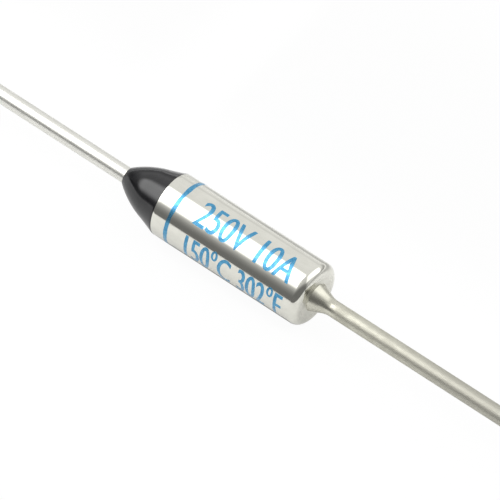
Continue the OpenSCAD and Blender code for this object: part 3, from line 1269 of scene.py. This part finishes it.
@dataclass
class Studio:
    """Pale floor, soft light and a long lens, with lengths in metres and angles in degrees."""

    RAMP_MIDDLE = 0.5

    floor_z: float
    azimuth: float = 39.05
    elevation: float = 52.5
    distance: float = 0.35
    pixels_per_mm: float = 17.6
    centre_px: Point = (242.04, 249.65)
    sensor: float = 36.0
    clip: Point = (0.01, 20.0)
    floor_side: float = 6.0
    # Floor greys seen in the metal: the pale floor, and the painted shade of the band behind the case.
    floor_and_shade_greys: Point = (0.93, 0.55)
    shade_band: Marks = (0.004, 0.011, 0.018, 0.032)
    shade_band_gap: Marks = (-0.0150, -0.0115, -0.0095, -0.0078)
    shade_gap_share: float = 0.72
    # Painted shadow under the case: where it lies along and across, and the share of grey that it keeps.
    shade_along: Marks = (-0.0056, -0.0040, 0.0040, 0.0054)
    shade_across: Marks = (-0.0021, -0.0013, 0.0, 0.002)
    shade_share: float = 0.26
    # Shares of light that the floor gives off itself, for the camera and for all other rays.
    floor_glow: float = 0.96
    floor_fill: float = 0.40
    front_turn: float = 45.0
    front_start: float = -0.38
    panels: tuple[Panel, ...] = (
        Panel(
            "softbox",
            side_deg=-43.1,
            rise_deg=71.0,
            distance=0.20,
            radiance=3.1,
            along=(-0.55, -0.38, 0.415, 0.465),
            across=(-0.53, -0.14, 0.42, 0.70),
            droop=0.38,
            droop_start=0.2,
        ),
        Panel(
            "window",
            side_deg=34.8,
            rise_deg=126.6,
            distance=0.40,
            radiance=0.9,
            along=(-0.70, -0.50, 0.20, 0.40),
            across=(-0.70, -0.50, 0.50, 0.66),
        ),
    )
    room_levels: tuple[Point, ...] = (
        (0.0, 0.20), (14.0, 0.20), (19.0, 0.215), (26.0, 0.28), (33.0, 0.385),
        (40.0, 0.58), (47.0, 0.70), (60.0, 0.78), (106.0, 0.98), (168.0, 1.03),
    )
    horizon_rise: float = 0.28
    horizon_turn: Point = (60.0, 120.0)
    horizon_left: Point = (-0.65, -0.42)
    horizon_right: Point = (-0.33, 0.10)
    horizon_dips: Point = (0.60, 0.55)
    strip_rise: Marks = (0.04, 0.13, 0.19, 0.30)
    strip_dip: float = 0.14
    far_left: Point = (-0.99, -0.86)
    far_left_share: float = 0.35
    cove_level: float = 0.9
    cove_span: Point = (0.018, 0.036)

    def camera(self) -> None:
        """Sets a camera at the photograph's angle, framed as the photograph is."""
        a, e = math.radians(self.azimuth), math.radians(self.elevation)
        back = Vector((math.sin(a) * math.cos(e), -math.cos(a) * math.cos(e), math.sin(e)))
        right = Vector((math.cos(a), math.sin(a), 0.0))
        up = back.cross(right)
        scale = self.pixels_per_mm / MM
        aim = right * (PHOTO_SIDE / 2 - self.centre_px[0]) / scale
        aim -= up * (PHOTO_SIDE / 2 - self.centre_px[1]) / scale
        data = bpy.data.cameras.new("camera")
        data.sensor_width = self.sensor
        data.lens = self.sensor * self.distance * scale / PHOTO_SIDE
        data.clip_start, data.clip_end = self.clip
        camera = bpy.data.objects.new("camera", data)
        camera.location = aim + back * self.distance
        camera.rotation_mode = "QUATERNION"
        camera.rotation_quaternion = (-back).to_track_quat("-Z", "Y")
        bpy.context.scene.collection.objects.link(camera)
        bpy.context.scene.camera = camera

    def floor_grey(self, shader: Shader) -> Socket:
        """Works out the floor's grey: pale, with a band of painted shade behind the case, lighter over part
        of its length, and a painted shadow under the case.

        Args:
            shader: The floor's material.

        Returns:
            The grey.
        """
        pale, dim = self.floor_and_shade_greys
        x, y = shader.part(shader.place, Axis.X), shader.part(shader.place, Axis.Y)
        gap = shader.within(x, x, self.shade_band_gap)
        drop = shader.math("MULTIPLY_ADD", gap, self.shade_gap_share * (pale - dim), dim - pale)
        with_shade_band = shader.math("MULTIPLY_ADD", shader.within(y, y, self.shade_band), drop, pale)
        shade = shader.times(shader.within(x, x, self.shade_along), shader.within(y, y, self.shade_across))
        kept = shader.math("MULTIPLY_ADD", shade, self.shade_share - 1.0, 1.0)
        return shader.times(with_shade_band, kept)

    def floor(self) -> None:
        """Lays a pale floor under the case, which the camera sees nearly free of shadow.

        Its band of painted shade and its painted shadow under the case show only in what the metal and the
        resin mirror. The floor partly glows with that grey, painted shade included, besides the light that
        falls on it.
        """
        shader = Shader("pale_floor")
        grey = self.floor_grey(shader)
        shader.set(Base_Color=grey, Roughness=1.0, Specular_IOR_Level=0.0)
        seen = shader.named("ShaderNodeLightPath", "Is Camera Ray")
        share = shader.math("MULTIPLY_ADD", seen, self.floor_glow - self.floor_fill, self.floor_fill)
        # The floor glows white for the camera, and with its grey, painted shade included, for other rays.
        strength = shader.math("MAXIMUM", seen, grey)
        glow = shader.named("ShaderNodeEmission", "Emission", Strength=strength)
        mixed = shader.add("ShaderNodeMixShader", share, shader.surface.outputs["BSDF"], glow)
        shader.link(mixed, shader.output)
        half = self.floor_side / 2
        add_sheet("floor", (-half, -half), (half, half), self.floor_z, shader.material)

    def overhead(self, nodes: NodeTree, x: Socket, rise: Socket) -> Socket:
        """Works out the light from the front over the top, which comes up later towards +X.

        Args:
            nodes: The world's node tree.
            x: How far the direction points along the case.
            rise: Angle of the direction from the front over the top.

        Returns:
            The light's level.
        """
        beyond = nodes.math("MAXIMUM", nodes.minus(x, self.front_start), 0.0)
        lag = nodes.times(beyond, math.radians(self.front_turn))
        share = nodes.math("DIVIDE", nodes.minus(rise, lag), math.pi)
        ramp = nodes.tree.nodes.new("ShaderNodeValToRGB")
        elements = ramp.color_ramp.elements
        while len(elements) < len(self.room_levels):
            elements.new(self.RAMP_MIDDLE)
        for element, (angle, level) in zip(elements, self.room_levels):
            element.position = angle / HALF_TURN_DEG
            element.color = (level, level, level, 1.0)
        nodes.link(share, ramp.inputs["Fac"])
        return ramp.outputs["Color"]

    def level(self, nodes: NodeTree) -> Socket:
        """Works out the room's light by direction: dim in front, light behind, dimmer at the horizon.

        Args:
            nodes: The world's node tree.

        Returns:
            The light's level.
        """
        look = nodes.named("ShaderNodeTexCoord", "Generated")
        x, y, z = (nodes.part(look, axis) for axis in Axis)
        rise = nodes.math("ARCTAN2", z, nodes.times(y, -1.0))
        low = nodes.ramp(z, (0.0, self.horizon_rise), 1.0, 0.0)
        behind = nodes.ramp(rise, tuple(map(math.radians, self.horizon_turn)), 0.0, 1.0)
        left, right = self.horizon_dips
        depth = nodes.ramp(x, self.horizon_left, left, 0.0)
        depth = nodes.plus(depth, nodes.ramp(x, self.horizon_right, 0.0, right))
        strip = nodes.times(nodes.within(z, z, self.strip_rise), self.strip_dip)
        dip = nodes.math("MULTIPLY_ADD", low, depth, strip)
        kept = nodes.minus(1.0, nodes.times(dip, behind))
        cove = nodes.times(nodes.minus(1.0, behind), self.cove_level)
        cove = nodes.times(nodes.ramp(z, self.cove_span, 1.0, 0.0), cove)
        kept = nodes.times(kept, nodes.ramp(x, self.far_left, self.far_left_share, 1.0))
        return nodes.math("MAXIMUM", nodes.times(self.overhead(nodes, x, rise), kept), cove)

    def room(self) -> None:
        """Surrounds the object with soft light, and gives the camera a white backdrop."""
        world = bpy.data.worlds.new("room")
        world.use_nodes = True
        nodes = NodeTree(world.node_tree)
        nodes.tree.nodes.clear()
        light = nodes.named("ShaderNodeBackground", "Background", Color=self.level(nodes))
        backdrop = nodes.named("ShaderNodeBackground", "Background", Color=(1.0, 1.0, 1.0, 1.0))
        seen = nodes.named("ShaderNodeLightPath", "Is Camera Ray")
        mixed = nodes.add("ShaderNodeMixShader", seen, light, backdrop)
        nodes.link(mixed, nodes.tree.nodes.new("ShaderNodeOutputWorld").inputs["Surface"])
        bpy.context.scene.world = world

    def build(self) -> None:
        """Sets up the camera, the stage and the lights."""
        self.camera()
        self.floor()
        self.room()
        for panel in self.panels:
            panel.build()
        bpy.context.scene.view_settings.view_transform = "Standard"


def mount_radius(mount: str) -> float:
    """Reads a round mount's radius in millimetres from the record."""
    return next(m["dims"]["r_mm"] for m in frame["record"]["mounts"] if m["name"] == mount)


def main() -> None:
    """Builds and dresses every piece, then sets the studio."""
    logging.basicConfig(level=logging.INFO, format="%(name)s %(message)s")
    plating = DrawnMetal(
        "case_plating",
        bright=(0.71, 0.705, 0.645),
        dark=(0.665, 0.66, 0.60),
        smooth=0.05,
        rough=0.10,
        dull_gain=0.30,
        dull_lines=0.0,
    )
    bright = DrawnMetal(
        "bright_wire",
        bright=(0.74, 0.735, 0.69),
        dark=(0.69, 0.685, 0.64),
        smooth=0.32,
        rough=0.38,
        wave_mm=1.2,
    )
    tinned = DrawnMetal(
        "tinned_wire",
        bright=(0.58, 0.57, 0.49),
        dark=(0.50, 0.49, 0.42),
        smooth=0.24,
        rough=0.32,
        dull_gain=0.22,
        clear_lines=0.0,
        wave_mm=1.2,
    )
    case = Case.from_frame(mount_radius("case_body"))
    case.build(plating.make())
    CaseLead.from_frame(case.right, mount_radius("case_lead")).build(tinned.make())
    isolated = IsolatedLead.from_frame(mount_radius("isolated_lead"))
    isolated.build(bright.make())
    ResinSeal(case, isolated).build(CastResin("cast_resin").make())
    Print(case).build(StampInk("stamp_ink").make())
    InnerStack().build()
    Studio(floor_z=-case.radius * MM).build()


if __name__ == "__main__":
    main()
